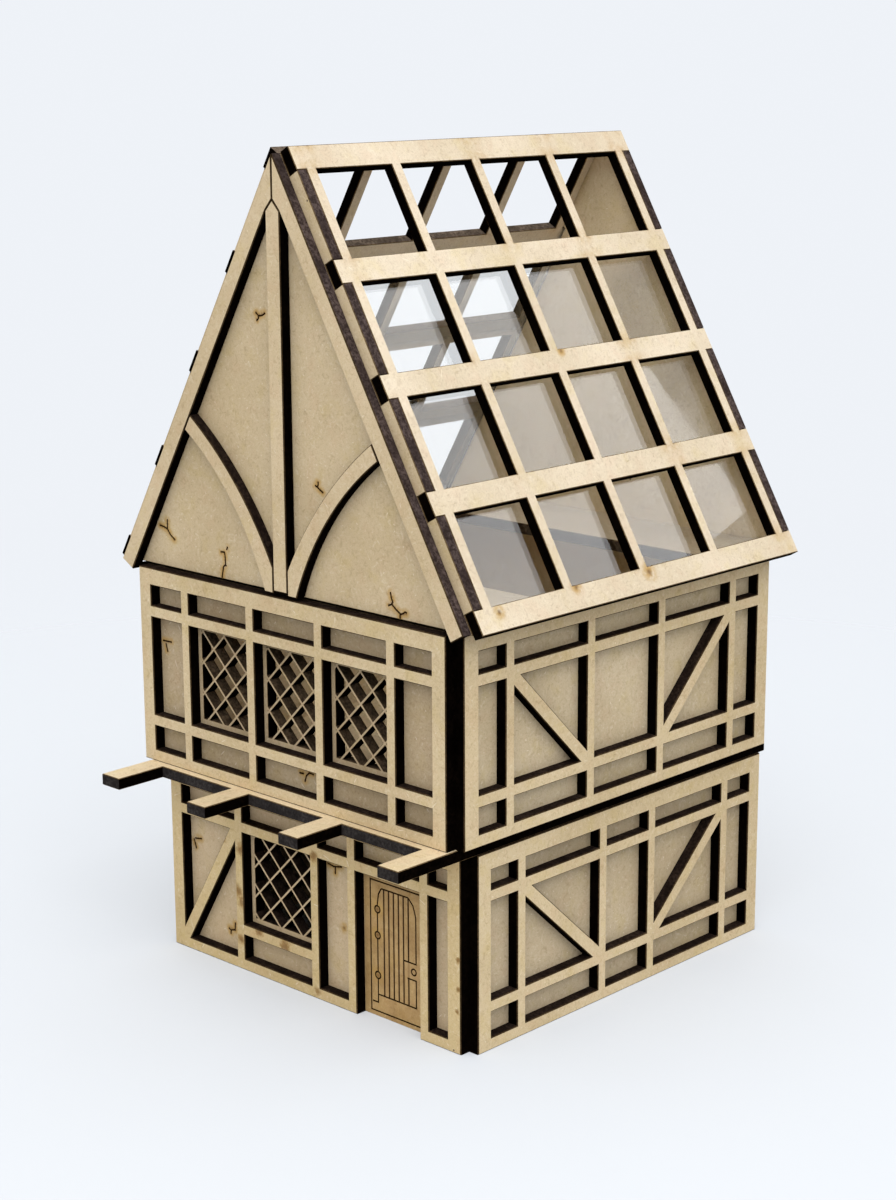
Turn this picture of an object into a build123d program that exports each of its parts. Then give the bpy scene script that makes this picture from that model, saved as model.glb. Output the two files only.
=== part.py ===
import os
from build123d import *

# Laser-cut sheet model of a half timbered house in three stacked modules:
# ground storey, jettied upper storey, and a roof whose slopes are open lattices.
# X runs along the front, Y runs to the back, Z is up.

# Stock
sheet = 3.0
clear_sheet = 1.5
fit = 0.1

# Timber widths
post = 3.0
brace = 3.5

# Ground storey, widths across the front and along a side, then heights of the rows
ground_front_edge = 4.4
brace_bay = 20.8
window_bay = 25.4
side_bay = 10.3
door_bay = 21.9
slim_bay = 6.2
ground_side_edge = 4.6
ground_narrow_bay = 9.3
ground_wide_bay = 27.3
ground_middle_bay = 16.2
ground_back_wide_bay = 24.7
ground_bottom_rail = 3.1
ground_low_row = 6.6
ground_rail = 3.0
ground_main_row = 25.0
ground_top_row = 4.9
ground_top_rail = 4.6
ground_setback = 6.5

# Upper storey
upper_front_edge = 4.5
upper_front_narrow_bay = 11.75
upper_window_bay = 21.5
upper_side_edge = 5.0
upper_narrow_bay = 9.2
upper_wide_bay = 26.1
upper_middle_bay = 24.0
upper_bottom_rail = 3.2
upper_low_row = 6.4
upper_rail = 3.1
upper_main_row = 26.0
upper_top_row = 5.3
upper_top_rail = 4.5

# Leaded lights, cut through the wall sheets
light_border = 1.3
light_bar = 0.62
light_pitch = 8.1
upper_light_shift_x = -0.8
upper_light_shift_z = -0.65
ground_light_shift_x = -1.65
ground_light_shift_z = 0.4
light_bar_count = 4
light_turn = 45
light_node_share = 0.5

# Jetty floor with four joist tails
plate_left_inset = 2.7
plate_right_proud = 0.7
plate_nosing = 5.1
joist_reach = 19.5
joist_width = 6.7
joist_count = 4

# Roof
roof_pitch = 60
quarter_turn = 90
roof_lead = 0.5
roof_tail = 3.6
gable_rise = 105.9
gable_clear = 0.7
eave_drop = 0.3
ridge_trim = 0.7
left_lift = 0.6
purlin = 6.1
rafter = 3.1
bay_count = 4
glazing_lap = 4.5
glazing_foot = 1.5
glazing_gap = 0.2
ring_gap = 0.7
ring_side = 4.5
ring_end = 26.0

# Gable timbers, places measured from the middle line and up from the wall top
barge_width = 4.5
barge_back = 1.3
king_post_width = 4.8
king_tip_height = 2.6
king_foot = 1.6
kerf = 0.2
curve_foot = 1.0
curve_foot_outer_share = 0.069
curve_foot_inner_share = 0.092
curve_mid_outer_shares = (0.262, 0.255)
curve_mid_inner_shares = (0.290, 0.212)
curve_top_outer_share = 0.520
curve_top_inner_share = 0.556

# Engraved lines, with the door's places measured from its middle line and up from the ground
engrave_width = 0.42
engrave_depth = 0.4
overrun = 1.0
door_shift = 0.3
door_border_half = 9.0
door_border_low = 1.3
door_border_high = 35.6
leaf_half = 6.6
leaf_low = 5.85
leaf_high = 33.9
arch_low = 29.4
arch_left_top = 5.2
arch_right_top = 4.1
arch_left_middle = 6.2
arch_right_middle = 5.7
arch_middle_high = 32.2
plank_pitch = 1.68
plank_first = 4.35
plank_count = 6
lock_high = 17.3
lock_low = 13.0
lock_reach = 3.0
latch_reach = 4.25
hinge_foot = 3.7
hinge_foot_reach = 2.0
hinge_radius = 0.9
hinge_heights = (28.2, 21.4, 10.9)
handle_radius = 0.8
handle_height = 15.1
handle_inset = 0.8

# Engraved plaster cracks, as shares of the half width and height of the sheet they are on
gable_crack_shares = [
    [(-0.795, 0.105), (-0.761, 0.102), (-0.744, 0.099), (-0.726, 0.086), (-0.695, 0.075)],
    [(-0.744, 0.099), (-0.743, 0.123)],
    [(-0.365, 0.087), (-0.373, 0.078)],
    [(-0.411, 0.071), (-0.386, 0.072), (-0.381, 0.056), (-0.381, 0.042), (-0.375, 0.039)],
    [(-0.381, 0.042), (-0.394, 0.037), (-0.406, 0.008)],
    [(0.566, 0.064), (0.571, 0.051), (0.579, 0.042), (0.571, 0.036), (0.553, 0.032)],
    [(0.574, 0.037), (0.595, 0.027), (0.617, 0.020), (0.617, 0.008)],
    [(0.618, 0.018), (0.635, 0.022), (0.643, 0.026), (0.654, 0.025)],
    [(0.177, 0.281), (0.178, 0.274), (0.172, 0.268), (0.159, 0.271)],
    [(0.172, 0.268), (0.186, 0.263), (0.206, 0.257)],
    [(-0.162, 0.644), (-0.144, 0.636), (-0.123, 0.638), (-0.105, 0.644)],
    [(-0.144, 0.636), (-0.146, 0.630), (-0.157, 0.624)],
]
upper_crack_shares = [
    [(0.031, 0.141), (0.061, 0.143)],
    [(0.127, 0.153), (0.097, 0.155), (0.077, 0.136), (0.066, 0.103)],
    [(-0.907, 0.621), (-0.841, 0.623)],
    [(-0.886, 0.612), (-0.873, 0.566)],
]
ground_crack_shares = [
    [(0.078, 0.715), (0.125, 0.707), (0.180, 0.719)],
    [(0.135, 0.707), (0.133, 0.669)],
    [(-0.890, 0.602), (-0.835, 0.612)],
    [(-0.898, 0.600), (-0.880, 0.546)],
    [(-0.598, 0.209), (-0.602, 0.161)],
    [(-0.651, 0.165), (-0.632, 0.157), (-0.602, 0.167)],
    [(-0.632, 0.157), (-0.634, 0.133)],
]

# Bay and row lists
ground_front_bays = [
    ground_front_edge, brace_bay, post, window_bay, post, side_bay,
    post, door_bay, post, slim_bay, ground_front_edge,
]
ground_side_bays = [
    ground_side_edge, ground_narrow_bay, post, ground_wide_bay, post, ground_middle_bay,
    post, ground_wide_bay, post, ground_narrow_bay, ground_side_edge,
]
ground_back_bays = [
    ground_side_edge, ground_narrow_bay, post, ground_back_wide_bay, post, ground_middle_bay,
    post, ground_back_wide_bay, post, ground_narrow_bay, ground_side_edge,
]
ground_rows = [
    ground_bottom_rail, ground_low_row, ground_rail, ground_main_row,
    ground_rail, ground_top_row, ground_top_rail,
]
upper_front_bays = [
    upper_front_edge, upper_front_narrow_bay, post, upper_window_bay, post, upper_window_bay,
    post, upper_window_bay, post, upper_front_narrow_bay, upper_front_edge,
]
upper_side_bays = [
    upper_side_edge, upper_narrow_bay, post, upper_wide_bay, post, upper_middle_bay,
    post, upper_wide_bay, post, upper_narrow_bay, upper_side_edge,
]
upper_rows = [
    upper_bottom_rail, upper_low_row, upper_rail, upper_main_row,
    upper_rail, upper_top_row, upper_top_rail,
]

# Overall sizes and levels
ground_width = sum(ground_front_bays)
ground_depth = sum(ground_side_bays)
ground_top = sum(ground_rows)
upper_width = sum(upper_front_bays)
upper_depth = sum(upper_side_bays)
upper_base = ground_top + sheet
upper_top = upper_base + sum(upper_rows)
ridge_top = upper_top + gable_rise
roof_length = roof_lead + upper_depth + roof_tail
roof_reach = roof_length - roof_lead + sheet
plate_left = upper_width / 2 - plate_left_inset
plate_right = upper_width / 2 + plate_right_proud

# Y of the faces, with the whole depth centred on zero
upper_front = (joist_reach - roof_reach) / 2
upper_back = upper_front + upper_depth
ground_front = upper_front + ground_setback
ground_back = ground_front + ground_depth
roof_front = upper_front - roof_lead
roof_back = roof_front + roof_length


def marks(start, steps):
    places = [start]
    for step in steps:
        places.append(places[-1] + step)
    return places


def pane(left, right, low, high):
    with Locations(((left + right) / 2, (low + high) / 2)):
        Rectangle(right - left, high - low, mode=Mode.SUBTRACT)


def outline(points, mode):
    with BuildLine() as path:
        Polyline(*points, close=True)
    make_face(path.edges(), mode=mode)


def braced_pane(left, right, low, high, falling):
    run = right - left
    rise = high - low
    slant = (run**2 + rise**2) ** 0.5
    along = brace / 2 * slant / rise
    up = brace / 2 * slant / run
    if falling:
        outline([(left + along, high), (right, high), (right, low + up)], Mode.SUBTRACT)
        outline([(left, low), (left, high - up), (right - along, low)], Mode.SUBTRACT)
    else:
        outline([(left, high), (left, low + up), (right - along, high)], Mode.SUBTRACT)
        outline([(left + along, low), (right, high - up), (right, low)], Mode.SUBTRACT)


def timber_panes(columns, rows, braced):
    for number in range(1, len(columns) - 1, 2):
        left = columns[number]
        right = columns[number + 1]
        pane(left, right, rows[1], rows[2])
        if braced and number == 3:
            braced_pane(left, right, rows[3], rows[4], True)
        elif braced and number == 7:
            braced_pane(left, right, rows[3], rows[4], False)
        else:
            pane(left, right, rows[3], rows[4])
        pane(left, right, rows[5], rows[6])


def sheet_face(left, right, low, high):
    with Locations(((left + right) / 2, (low + high) / 2)):
        Rectangle(right - left, high - low)


def score(*points):
    with BuildLine() as stroke:
        Polyline(*points)
    trace(stroke.edges(), line_width=engrave_width)


def score_ring(centre_x, centre_z, radius):
    with Locations((centre_x, centre_z)):
        Circle(radius + engrave_width / 2)
        Circle(radius - engrave_width / 2, mode=Mode.SUBTRACT)


def score_cracks(crack_shares, half_width, low, height):
    for crack in crack_shares:
        score(*[(across * half_width, low + up * height) for across, up in crack])


def light_bars(left, right, low, high, shift_x, shift_z):
    middle_x = (left + right) / 2
    middle_z = (low + high) / 2
    reach = (right - left) + (high - low)
    for number in range(-light_bar_count, light_bar_count + 1):
        lift = (number + light_node_share) * light_pitch
        centre = (middle_x + shift_x, middle_z + shift_z + lift)
        with Locations(Location(centre, light_turn), Location(centre, -light_turn)):
            Rectangle(reach, light_bar)
    with Locations((middle_x, middle_z)):
        Rectangle(right - left, high - low, mode=Mode.INTERSECT)


def light_bounds(left, right, low, high):
    return left + light_border, right - light_border, low + light_border, high - light_border


# Slope directions in the gable's own plane, down the right slope and square to it
slope_run = Vector(1, 0).rotate(Axis.Z, -roof_pitch)
slope_out = Vector(1, 0).rotate(Axis.Z, quarter_turn - roof_pitch)
slope_fall = slope_run.Y / slope_run.X
gable_half = -gable_rise / slope_fall
gable_slope = -gable_rise / slope_run.Y
slope_length = gable_slope + eave_drop
barge_length = gable_slope - barge_back
cell_length = (slope_length - (bay_count + 1) * purlin) / bay_count
glazing_start = purlin + cell_length + glazing_lap
ring_half_width = (sheet - gable_rise) / slope_fall + clear_sheet / slope_run.Y - ring_gap
cell_width = (roof_length - 2 * sheet - (bay_count + 1) * rafter) / bay_count


def slope_point(along, outward, side):
    place = Vector(0, ridge_top) + slope_run * along + slope_out * outward
    return side * place.X, place.Y


front_ground_columns = marks(-ground_width / 2, ground_front_bays)
side_ground_columns = marks(ground_front, ground_side_bays)
side_ground_columns_back_first = marks(-ground_back, ground_side_bays)
back_ground_columns = marks(-ground_width / 2, ground_back_bays)
ground_levels = marks(0, ground_rows)
front_upper_columns = marks(-upper_width / 2, upper_front_bays)
side_upper_columns = marks(upper_front, upper_side_bays)
side_upper_columns_back_first = marks(-upper_back, upper_side_bays)
upper_levels = marks(upper_base, upper_rows)

# Plank door engraved on the ground front wall, with an arched head, hinges and a ring handle
def score_door(middle):
    border_left = middle - door_border_half
    border_right = middle + door_border_half
    leaf_left = middle - leaf_half
    leaf_right = middle + leaf_half
    lock_left = leaf_right - lock_reach
    score(
        (border_left, door_border_low), (border_left, door_border_high),
        (border_right, door_border_high), (border_right, door_border_low),
        (border_left, door_border_low),
    )
    for number in range(plank_count):
        plank_x = middle - plank_first + number * plank_pitch
        if plank_x < lock_left:
            score((plank_x, leaf_low), (plank_x, leaf_high))
        else:
            score((plank_x, leaf_low), (plank_x, lock_low))
            score((plank_x, lock_high), (plank_x, leaf_high))
    score((middle - arch_left_top, leaf_high), (middle + arch_right_top, leaf_high))
    score(
        (middle - arch_left_top, leaf_high), (middle - arch_left_middle, arch_middle_high),
        (leaf_left, arch_low), (leaf_left, hinge_foot), (leaf_left - hinge_foot_reach, hinge_foot),
    )
    score(
        (middle + arch_right_top, leaf_high), (middle + arch_right_middle, arch_middle_high),
        (leaf_right, arch_low), (leaf_right, lock_high), (leaf_right - latch_reach, lock_high),
    )
    score(
        (lock_left, lock_low), (leaf_right, lock_low), (leaf_right, leaf_low), (leaf_left, leaf_low)
    )
    for hinge_height in hinge_heights:
        score_ring(leaf_left, hinge_height, hinge_radius)
    score_ring(leaf_right - handle_inset, handle_height, handle_radius)


# Ground storey walls, front and back full width, sides between them
ground_light = light_bounds(
    front_ground_columns[3], front_ground_columns[4], ground_levels[3], ground_levels[4]
)

with BuildPart() as ground_front_wall:
    with BuildSketch(Plane.front.offset(-ground_front)):
        sheet_face(-ground_width / 2, ground_width / 2, 0, ground_top)
        pane(*ground_light)
    extrude(amount=-sheet)
    with BuildSketch(Plane.front.offset(-ground_front)):
        light_bars(*ground_light, ground_light_shift_x, ground_light_shift_z)
    extrude(amount=-sheet)
    with BuildSketch(Plane.front.offset(overrun - ground_front)):
        score_door((front_ground_columns[7] + front_ground_columns[8]) / 2 + door_shift)
        score_cracks(ground_crack_shares, ground_width / 2, 0, ground_top)
    extrude(amount=-overrun - engrave_depth, mode=Mode.SUBTRACT)

with BuildPart() as ground_back_wall:
    with BuildSketch(Plane.back.offset(ground_back)):
        sheet_face(-ground_width / 2, ground_width / 2, 0, ground_top)
    extrude(amount=-sheet)

with BuildPart() as ground_right_wall:
    with BuildSketch(Plane.right.offset(ground_width / 2)):
        sheet_face(ground_front + sheet, ground_back - sheet, 0, ground_top)
    extrude(amount=-sheet)

with BuildPart() as ground_left_wall:
    with BuildSketch(Plane.left.offset(ground_width / 2)):
        sheet_face(-ground_back + sheet, -ground_front - sheet, 0, ground_top)
    extrude(amount=-sheet)

# Ground storey timber frames, each as wide as the wall face it is glued to
with BuildPart() as ground_front_frame:
    with BuildSketch(Plane.front.offset(-ground_front)):
        sheet_face(-ground_width / 2, ground_width / 2, 0, ground_top)
        for number in range(1, len(front_ground_columns) - 1, 2):
            pane(
                front_ground_columns[number], front_ground_columns[number + 1],
                ground_levels[5], ground_levels[6],
            )
        braced_pane(
            front_ground_columns[1], front_ground_columns[2], ground_levels[1], ground_levels[4], False
        )
        pane(front_ground_columns[3], front_ground_columns[4], ground_levels[3], ground_levels[4])
        pane(front_ground_columns[3], front_ground_columns[4], ground_levels[1], ground_levels[2])
        pane(front_ground_columns[5], front_ground_columns[6], ground_levels[1], ground_levels[4])
        pane(front_ground_columns[7], front_ground_columns[8], 0, ground_levels[4])
        pane(front_ground_columns[9], front_ground_columns[10], ground_levels[1], ground_levels[4])
    extrude(amount=sheet)

with BuildPart() as ground_back_frame:
    with BuildSketch(Plane.back.offset(ground_back)):
        sheet_face(-ground_width / 2, ground_width / 2, 0, ground_top)
        timber_panes(back_ground_columns, ground_levels, True)
    extrude(amount=sheet)

with BuildPart() as ground_right_frame:
    with BuildSketch(Plane.right.offset(ground_width / 2)):
        sheet_face(ground_front, ground_back, 0, ground_top)
        timber_panes(side_ground_columns, ground_levels, True)
    extrude(amount=sheet)

with BuildPart() as ground_left_frame:
    with BuildSketch(Plane.left.offset(ground_width / 2)):
        sheet_face(-ground_back, -ground_front, 0, ground_top)
        timber_panes(side_ground_columns_back_first, ground_levels, True)
    extrude(amount=sheet)

# Jetty floor, one sheet whose front edge carries the joist tails
joist_pitch = (plate_left + plate_right - joist_width) / (joist_count - 1)

with BuildPart() as jetty_floor:
    with BuildSketch(Plane.XY.offset(ground_top)):
        sheet_face(-plate_left, plate_right, upper_front - plate_nosing, upper_back + sheet)
        for number in range(joist_count):
            joist_left = -plate_left + number * joist_pitch
            sheet_face(
                joist_left, joist_left + joist_width, upper_front - joist_reach, upper_front - plate_nosing
            )
    extrude(amount=sheet)

# Upper storey walls
upper_lights = [
    light_bounds(
        front_upper_columns[number], front_upper_columns[number + 1], upper_levels[3], upper_levels[4]
    )
    for number in (3, 5, 7)
]

with BuildPart() as upper_front_wall:
    with BuildSketch(Plane.front.offset(-upper_front)):
        sheet_face(-upper_width / 2, upper_width / 2, upper_base, upper_top)
        for light in upper_lights:
            pane(*light)
    extrude(amount=-sheet)
    for light in upper_lights:
        with BuildSketch(Plane.front.offset(-upper_front)):
            light_bars(*light, upper_light_shift_x, upper_light_shift_z)
        extrude(amount=-sheet)
    with BuildSketch(Plane.front.offset(overrun - upper_front)):
        score_cracks(upper_crack_shares, upper_width / 2, upper_base, upper_top - upper_base)
    extrude(amount=-overrun - engrave_depth, mode=Mode.SUBTRACT)

with BuildPart() as upper_back_wall:
    with BuildSketch(Plane.back.offset(upper_back)):
        sheet_face(-upper_width / 2, upper_width / 2, upper_base, upper_top)
    extrude(amount=-sheet)

with BuildPart() as upper_right_wall:
    with BuildSketch(Plane.right.offset(upper_width / 2)):
        sheet_face(upper_front + sheet, upper_back - sheet, upper_base, upper_top)
    extrude(amount=-sheet)

with BuildPart() as upper_left_wall:
    with BuildSketch(Plane.left.offset(upper_width / 2)):
        sheet_face(-upper_back + sheet, -upper_front - sheet, upper_base, upper_top)
    extrude(amount=-sheet)

# Upper storey timber frames
with BuildPart() as upper_front_frame:
    with BuildSketch(Plane.front.offset(-upper_front)):
        sheet_face(-upper_width / 2, upper_width / 2, upper_base, upper_top)
        timber_panes(front_upper_columns, upper_levels, False)
    extrude(amount=sheet)

with BuildPart() as upper_back_frame:
    with BuildSketch(Plane.back.offset(upper_back)):
        sheet_face(-upper_width / 2, upper_width / 2, upper_base, upper_top)
        timber_panes(front_upper_columns, upper_levels, False)
    extrude(amount=sheet)

with BuildPart() as upper_right_frame:
    with BuildSketch(Plane.right.offset(upper_width / 2)):
        sheet_face(upper_front, upper_back, upper_base, upper_top)
        timber_panes(side_upper_columns, upper_levels, True)
    extrude(amount=sheet)

with BuildPart() as upper_left_frame:
    with BuildSketch(Plane.left.offset(upper_width / 2)):
        sheet_face(-upper_back, -upper_front, upper_base, upper_top)
        timber_panes(side_upper_columns_back_first, upper_levels, True)
    extrude(amount=sheet)

# Roof base ring, flat between the gables on the wall tops
with BuildPart() as attic_ring:
    with BuildSketch(Plane.XY.offset(upper_top)):
        sheet_face(-ring_half_width, ring_half_width, roof_front + sheet, roof_back - sheet)
        pane(
            ring_side - ring_half_width, ring_half_width - ring_side,
            roof_front + sheet + ring_end, roof_back - sheet - ring_end,
        )
    extrude(amount=sheet)

# Gable sheets with four tabs up each slope, in the end notches of the roof lattices
gable_foot = upper_top + gable_clear
foot_half = gable_half + gable_clear / slope_fall


def gable_face():
    outline([(-foot_half, gable_foot), (foot_half, gable_foot), (0, ridge_top)], Mode.ADD)
    for side in (-1, 1):
        for number in range(bay_count):
            tab_start = purlin + number * (cell_length + purlin) + fit
            tab_end = tab_start + cell_length - 2 * fit
            outline(
                [
                    slope_point(tab_start, -sheet, side),
                    slope_point(tab_start, sheet, side),
                    slope_point(tab_end, sheet, side),
                    slope_point(tab_end, -sheet, side),
                ],
                Mode.ADD,
            )


with BuildPart() as front_gable:
    with BuildSketch(Plane.front.offset(-roof_front)):
        gable_face()
    extrude(amount=-sheet)
    with BuildSketch(Plane.front.offset(overrun - roof_front)):
        score_cracks(gable_crack_shares, gable_half, upper_top, gable_rise)
    extrude(amount=-overrun - engrave_depth, mode=Mode.SUBTRACT)

with BuildPart() as back_gable:
    with BuildSketch(Plane.back.offset(roof_back)):
        gable_face()
    extrude(amount=-sheet)

# Gable timbers, five pieces on each gable, parted by the width of the cut
king_half = king_post_width / 2
barge_inner_apex = ridge_top - barge_width / slope_run.X
king_shoulder = barge_inner_apex + king_half * slope_fall
king_tip = king_shoulder + king_tip_height
curve_apex = barge_inner_apex - kerf / slope_run.X


def barge_face(side):
    outline(
        [
            slope_point(kerf, 0, side),
            slope_point(barge_length, 0, side),
            slope_point(barge_length, -barge_width, side),
            (side * king_half, king_shoulder),
            (side * kerf / 2, king_tip),
        ],
        Mode.ADD,
    )


def king_post_face():
    outline(
        [
            (-king_half, upper_top + king_foot),
            (king_half, upper_top + king_foot),
            (king_half, king_shoulder - kerf),
            (0, king_tip - kerf),
            (-king_half, king_shoulder - kerf),
        ],
        Mode.ADD,
    )


def gable_place(shares, side):
    return side * shares[0] * gable_half, upper_top + shares[1] * gable_rise


def curve_top_place(share, side):
    across = share * gable_half
    return side * across, curve_apex + across * slope_fall


def curved_brace_face(side):
    post_x = side * (king_half + kerf)
    outer_foot = (post_x, upper_top + curve_foot_outer_share * gable_rise)
    outer_middle = gable_place(curve_mid_outer_shares, side)
    outer_top = curve_top_place(curve_top_outer_share, side)
    inner_top = curve_top_place(curve_top_inner_share, side)
    inner_middle = gable_place(curve_mid_inner_shares, side)
    inner_foot = (side * curve_foot_inner_share * gable_half, upper_top + curve_foot)
    with BuildLine() as path:
        ThreePointArc(outer_foot, outer_middle, outer_top)
        Line(outer_top, inner_top)
        ThreePointArc(inner_top, inner_middle, inner_foot)
        Polyline(inner_foot, (post_x, upper_top + curve_foot), outer_foot)
    make_face(path.edges())


front_timber_plane = Plane.front.offset(-roof_front)
back_timber_plane = Plane.back.offset(roof_back)

with BuildPart() as front_left_bargeboard:
    with BuildSketch(front_timber_plane):
        barge_face(-1)
    extrude(amount=sheet)

with BuildPart() as front_right_bargeboard:
    with BuildSketch(front_timber_plane):
        barge_face(1)
    extrude(amount=sheet)

with BuildPart() as front_king_post:
    with BuildSketch(front_timber_plane):
        king_post_face()
    extrude(amount=sheet)

with BuildPart() as front_left_brace:
    with BuildSketch(front_timber_plane):
        curved_brace_face(-1)
    extrude(amount=sheet)

with BuildPart() as front_right_brace:
    with BuildSketch(front_timber_plane):
        curved_brace_face(1)
    extrude(amount=sheet)

with BuildPart() as back_left_bargeboard:
    with BuildSketch(back_timber_plane):
        barge_face(1)
    extrude(amount=sheet)

with BuildPart() as back_right_bargeboard:
    with BuildSketch(back_timber_plane):
        barge_face(-1)
    extrude(amount=sheet)

with BuildPart() as back_king_post:
    with BuildSketch(back_timber_plane):
        king_post_face()
    extrude(amount=sheet)

with BuildPart() as back_left_brace:
    with BuildSketch(back_timber_plane):
        curved_brace_face(1)
    extrude(amount=sheet)

with BuildPart() as back_right_brace:
    with BuildSketch(back_timber_plane):
        curved_brace_face(-1)
    extrude(amount=sheet)

# Roof slopes, each an open lattice over a clear pane that leaves its top row open,
# the left one a little proud of its gable edges and cut back at the top, so that
# its purlin ends show past the bargeboard and the right one forms the ridge line
right_slope_plane = Plane(
    origin=(0, roof_front, ridge_top), x_dir=(0, 1, 0), z_dir=Vector(0, 0, 1).rotate(Axis.Y, roof_pitch)
)
left_slope_plane = Plane(
    origin=(0, roof_back, ridge_top), x_dir=(0, -1, 0), z_dir=Vector(0, 0, 1).rotate(Axis.Y, -roof_pitch)
).offset(left_lift)


def lattice_face(trim):
    sheet_face(0, roof_length, -slope_length, -trim)
    for row in range(bay_count):
        cell_high = -purlin - row * (cell_length + purlin)
        cell_low = cell_high - cell_length
        pane(0, sheet, cell_low, cell_high)
        pane(roof_length - sheet, roof_length, cell_low, cell_high)
        for column in range(bay_count):
            cell_left = sheet + rafter + column * (cell_width + rafter)
            pane(cell_left, cell_left + cell_width, cell_low, cell_high)


def glazing_face():
    inset = sheet + glazing_gap
    sheet_face(inset, roof_length - inset, glazing_foot - slope_length, -glazing_start)


with BuildPart() as roof_lattice_right:
    with BuildSketch(right_slope_plane):
        lattice_face(0)
    extrude(amount=sheet)

with BuildPart() as roof_lattice_left:
    with BuildSketch(left_slope_plane):
        lattice_face(ridge_trim)
    extrude(amount=sheet)

with BuildPart() as roof_glazing_right:
    with BuildSketch(right_slope_plane):
        glazing_face()
    extrude(amount=-clear_sheet)

with BuildPart() as roof_glazing_left:
    with BuildSketch(left_slope_plane):
        glazing_face()
    extrude(amount=-clear_sheet)

# Hand each piece over under its own name
pieces = {
    "ground_front_wall": ground_front_wall,
    "ground_back_wall": ground_back_wall,
    "ground_right_wall": ground_right_wall,
    "ground_left_wall": ground_left_wall,
    "ground_front_frame": ground_front_frame,
    "ground_back_frame": ground_back_frame,
    "ground_right_frame": ground_right_frame,
    "ground_left_frame": ground_left_frame,
    "jetty_floor": jetty_floor,
    "upper_front_wall": upper_front_wall,
    "upper_back_wall": upper_back_wall,
    "upper_right_wall": upper_right_wall,
    "upper_left_wall": upper_left_wall,
    "upper_front_frame": upper_front_frame,
    "upper_back_frame": upper_back_frame,
    "upper_right_frame": upper_right_frame,
    "upper_left_frame": upper_left_frame,
    "attic_ring": attic_ring,
    "front_gable": front_gable,
    "back_gable": back_gable,
    "front_left_bargeboard": front_left_bargeboard,
    "front_right_bargeboard": front_right_bargeboard,
    "front_king_post": front_king_post,
    "front_left_brace": front_left_brace,
    "front_right_brace": front_right_brace,
    "back_left_bargeboard": back_left_bargeboard,
    "back_right_bargeboard": back_right_bargeboard,
    "back_king_post": back_king_post,
    "back_left_brace": back_left_brace,
    "back_right_brace": back_right_brace,
    "roof_lattice_right": roof_lattice_right,
    "roof_lattice_left": roof_lattice_left,
    "roof_glazing_right": roof_glazing_right,
    "roof_glazing_left": roof_glazing_left,
}

os.makedirs("parts", exist_ok=True)
for name, piece in pieces.items():
    piece.part.label = name
    export_step(piece.part, f"parts/{name}.step")
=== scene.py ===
import math

import bmesh
import bpy
from mathutils import Matrix, Vector


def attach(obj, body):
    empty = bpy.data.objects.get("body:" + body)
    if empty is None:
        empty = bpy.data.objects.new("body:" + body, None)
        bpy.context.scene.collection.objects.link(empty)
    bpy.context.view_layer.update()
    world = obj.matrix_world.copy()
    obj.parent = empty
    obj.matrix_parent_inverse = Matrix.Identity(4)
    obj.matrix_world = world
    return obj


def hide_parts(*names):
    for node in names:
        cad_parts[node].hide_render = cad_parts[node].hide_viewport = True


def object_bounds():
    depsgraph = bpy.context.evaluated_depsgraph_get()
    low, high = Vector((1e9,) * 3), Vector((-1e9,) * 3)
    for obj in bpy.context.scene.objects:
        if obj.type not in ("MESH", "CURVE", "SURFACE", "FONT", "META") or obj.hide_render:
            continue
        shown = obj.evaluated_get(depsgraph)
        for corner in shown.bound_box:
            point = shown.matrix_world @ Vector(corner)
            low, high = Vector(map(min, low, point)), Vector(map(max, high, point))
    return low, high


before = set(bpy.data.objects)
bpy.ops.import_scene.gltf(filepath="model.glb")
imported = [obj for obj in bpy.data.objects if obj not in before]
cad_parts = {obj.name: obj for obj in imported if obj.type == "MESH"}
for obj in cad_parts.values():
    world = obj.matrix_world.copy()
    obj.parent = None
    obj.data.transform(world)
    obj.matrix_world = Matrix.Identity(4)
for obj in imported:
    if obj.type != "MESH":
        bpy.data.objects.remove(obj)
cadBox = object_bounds()
bpy.context.scene.view_settings.view_transform = "Standard"
print("frame loaded with", len(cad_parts), "cut sheets")

mm = 0.001
house = {
    # Y of the front faces, in millimetres
    "groundWall": -45.35,
    "groundFrame": -48.35,
    "upperWall": -51.85,
    "gable": -52.35,
    # roof
    "ridgeTop": 210.7,
    "roofPitch": math.radians(60),
}


# Shader helpers: each takes plain values or sockets and gives back the socket to read
def feed(tree, target, value):
    if isinstance(value, bpy.types.NodeSocket):
        tree.links.new(value, target)
    else:
        target.default_value = value


def shaderMath(tree, operation, first, second=0.0, clamp=False):
    node = tree.nodes.new("ShaderNodeMath")
    node.operation = operation
    node.use_clamp = clamp
    feed(tree, node.inputs[0], first)
    feed(tree, node.inputs[1], second)
    return node.outputs[0]


def shaderRange(tree, value, low, high, outLow=0.0, outHigh=1.0):
    node = tree.nodes.new("ShaderNodeMapRange")
    node.interpolation_type = "SMOOTHSTEP"
    feed(tree, node.inputs["Value"], value)
    node.inputs["From Min"].default_value = low
    node.inputs["From Max"].default_value = high
    node.inputs["To Min"].default_value = outLow
    node.inputs["To Max"].default_value = outHigh
    return node.outputs["Result"]


def shaderMix(tree, amount, first, second, blend="MIX"):
    node = tree.nodes.new("ShaderNodeMix")
    node.data_type = "RGBA"
    node.blend_type = blend
    feed(tree, node.inputs[0], amount)
    feed(tree, node.inputs[6], first if isinstance(first, bpy.types.NodeSocket) else (*first, 1.0))
    feed(tree, node.inputs[7], second if isinstance(second, bpy.types.NodeSocket) else (*second, 1.0))
    return node.outputs[2]


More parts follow.
